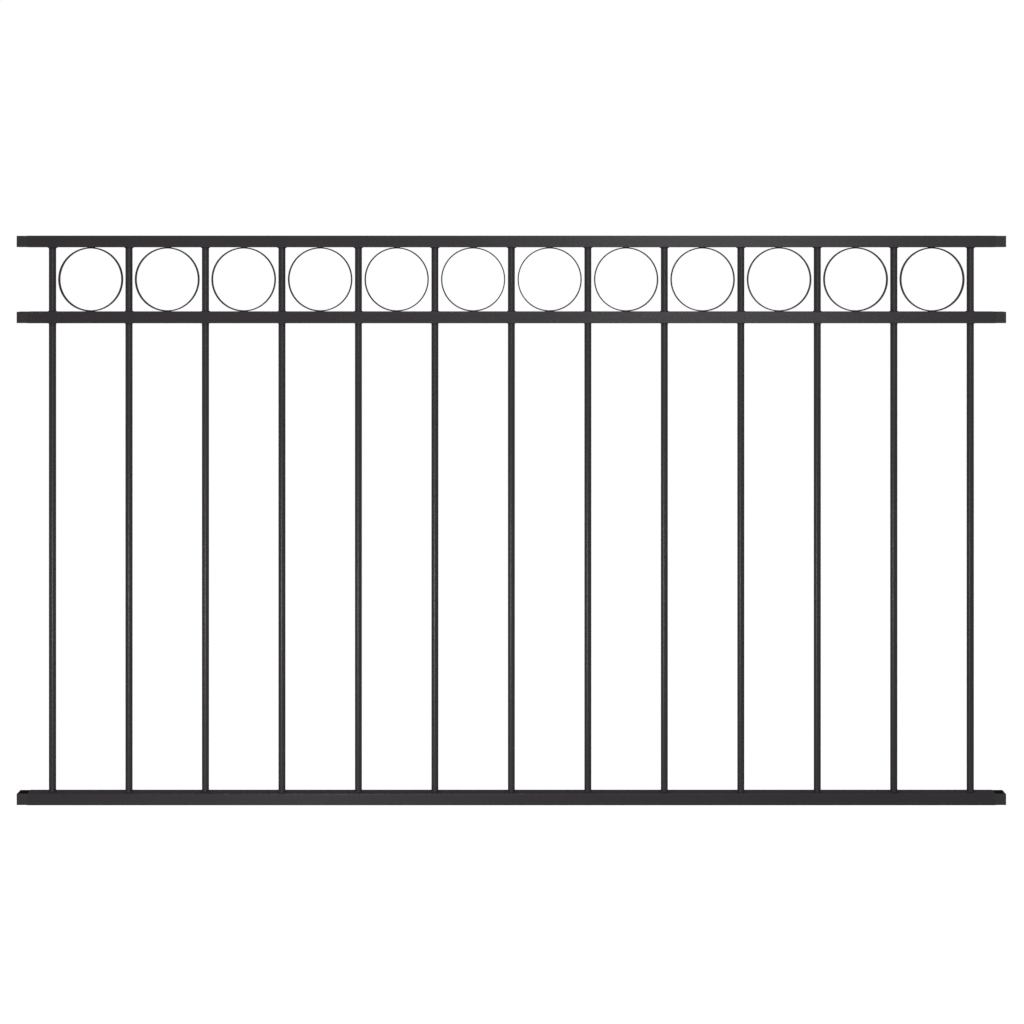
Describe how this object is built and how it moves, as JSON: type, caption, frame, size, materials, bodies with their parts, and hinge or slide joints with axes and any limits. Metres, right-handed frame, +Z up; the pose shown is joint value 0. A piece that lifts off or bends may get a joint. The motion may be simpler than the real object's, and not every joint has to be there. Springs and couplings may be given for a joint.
{
  "type": "steel fence panel",
  "caption": "Welded fence panel of square-tube rails and round upright bars, with a row of thin flat-band rings between the two upper rails and a plug in each rail end.",
  "frame": {"origin": "middle of the flat outer end of the bottom rail's left plug", "axes": "+X along the rails, to the right seen from the front; +Y from the front to the back; +Z up"},
  "size_m": [1.7, 0.02, 0.9787],
  "materials": {
    "coated_steel": "black powder coat with a low satin sheen and a fine orange peel",
    "plug_plastic": "black moulded plastic with a fine spark texture"
  },
  "bodies": {
    "root": {"bottom_rail": "coated_steel", "left_bottom_plug": "plug_plastic", "right_bottom_plug": "plug_plastic", "middle_rail": "coated_steel", "left_middle_plug": "plug_plastic", "right_middle_plug": "plug_plastic", "top_rail": "coated_steel", "left_top_plug": "plug_plastic", "right_top_plug": "plug_plastic", "bar_01": "coated_steel", "bar_02": "coated_steel", "bar_03": "coated_steel", "bar_04": "coated_steel", "bar_05": "coated_steel", "bar_06": "coated_steel", "bar_07": "coated_steel", "bar_08": "coated_steel", "bar_09": "coated_steel", "bar_10": "coated_steel", "bar_11": "coated_steel", "bar_12": "coated_steel", "bar_13": "coated_steel", "ring_01": "coated_steel", "ring_02": "coated_steel", "ring_03": "coated_steel", "ring_04": "coated_steel", "ring_05": "coated_steel", "ring_06": "coated_steel", "ring_07": "coated_steel", "ring_08": "coated_steel", "ring_09": "coated_steel", "ring_10": "coated_steel", "ring_11": "coated_steel", "ring_12": "coated_steel"}
  },
  "joints": []
}
